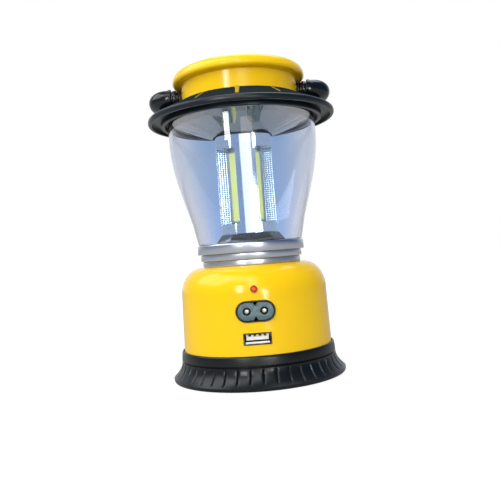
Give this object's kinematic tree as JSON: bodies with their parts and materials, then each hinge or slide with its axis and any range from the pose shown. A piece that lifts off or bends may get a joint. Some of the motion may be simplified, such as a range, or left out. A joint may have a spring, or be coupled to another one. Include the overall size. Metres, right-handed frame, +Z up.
{
  "type": "hand crank camping lantern",
  "caption": "Round rechargeable camping lantern with a clear jar round a mirrored light column, sockets in a yellow base, a folding bail handle and a folding hand crank at the back.",
  "frame": {"origin": "centre of the underside of the foot", "axes": "+Z up, -Y towards the side with the sockets, +X to the right seen from that side"},
  "size_m": [0.1024, 0.1073, 0.1656],
  "materials": {
    "yellow_plastic": "glossy moulded yellow plastic",
    "black_plastic": "glossy moulded black plastic",
    "silver_plastic": "satin silver paint on plastic",
    "mirror_plastic": "vacuum metallised plastic",
    "clear_plastic": "clear moulded plastic",
    "phosphor": "yellow phosphor gel",
    "steel": "plain steel",
    "gear_plastic": "natural acetal",
    "white_plastic": "white moulded plastic",
    "red_lens": "red tinted clear lens",
    "circuit_board": "green solder mask",
    "battery": "shrink sleeve over cells",
    "solar_cells": "solar cells under clear resin"
  },
  "bodies": {
    "lantern": {"base_cup": "black_plastic", "base_housing": "yellow_plastic", "battery_pack": "battery", "port_board": "circuit_board", "ac_inlet": "black_plastic", "ac_pin_left": "steel", "ac_pin_right": "steel", "usb_shell": "steel", "usb_tongue": "white_plastic", "charge_led": "red_lens", "power_switch": "white_plastic", "gear_frame": "black_plastic", "idler_axle": "steel", "dynamo_can": "steel", "crank_bush": "black_plastic", "silver_ring": "silver_plastic", "jar": "clear_plastic", "bottom_reflector": "mirror_plastic", "light_column": "mirror_plastic", "top_reflector": "mirror_plastic", "collar": "black_plastic", "head_shell": "yellow_plastic", "solar_panel": "solar_cells", "handle_pin_left": "steel", "handle_pin_right": "steel", "handle_washer_left": "black_plastic", "handle_washer_right": "black_plastic", "base_screw_1": "steel", "cob_strip_1": "phosphor", "base_screw_2": "steel", "cob_strip_2": "phosphor", "base_screw_3": "steel", "cob_strip_3": "phosphor", "base_screw_4": "steel", "cob_strip_4": "phosphor"},
    "handle": {"handle_bail": "black_plastic"},
    "crank": {"crank_arm": "black_plastic", "crank_shaft": "steel", "crank_screw": "steel", "drive_gear": "gear_plastic", "knob_hinge_pin": "steel"},
    "knob_yoke": {"knob_yoke": "steel"},
    "knob": {"crank_knob": "black_plastic"},
    "idler": {"idler_gear": "gear_plastic"},
    "rotor": {"dynamo_rotor": "steel"},
    "button": {"power_button": "black_plastic"}
  },
  "joints": [
    {"name": "handle_swing", "type": "hinge", "parent": "lantern", "child": "handle", "pos_m": [0, 0, 0.154], "axis": [1, 0, 0], "range_deg": [0, 180]},
    {"name": "crank_spin", "type": "hinge", "parent": "lantern", "child": "crank", "pos_m": [0, 0.043, 0.039], "axis": [0, 1, 0], "continuous": true},
    {"name": "knob_fold", "type": "hinge", "parent": "crank", "child": "knob_yoke", "pos_m": [0, 0.05118, 0.013], "axis": [-1, 0, 0], "range_deg": [0, 90]},
    {"name": "knob_spin", "type": "hinge", "parent": "knob_yoke", "child": "knob", "pos_m": [0, 0.05118, 0.013], "axis": [0, 0, 1], "continuous": true},
    {"name": "idler_spin", "type": "hinge", "parent": "lantern", "child": "idler", "pos_m": [-0.01376, 0.025, 0.02936], "axis": [0, 1, 0], "continuous": true},
    {"name": "rotor_spin", "type": "hinge", "parent": "lantern", "child": "rotor", "pos_m": [0.00208, 0.02, 0.02714], "axis": [0, 1, 0], "continuous": true},
    {"name": "button_press", "type": "slide", "parent": "lantern", "child": "button", "axis": [-0.8192, -0.5736, 0], "range_m": [0, 0.0012], "stiffness_N_per_m": 600, "springref_m": -0.0006}
  ],
  "couplings": [
    {"joint": "idler_spin", "follows": "crank_spin", "ratio": -2.5},
    {"joint": "rotor_spin", "follows": "crank_spin", "ratio": 5.8333}
  ]
}
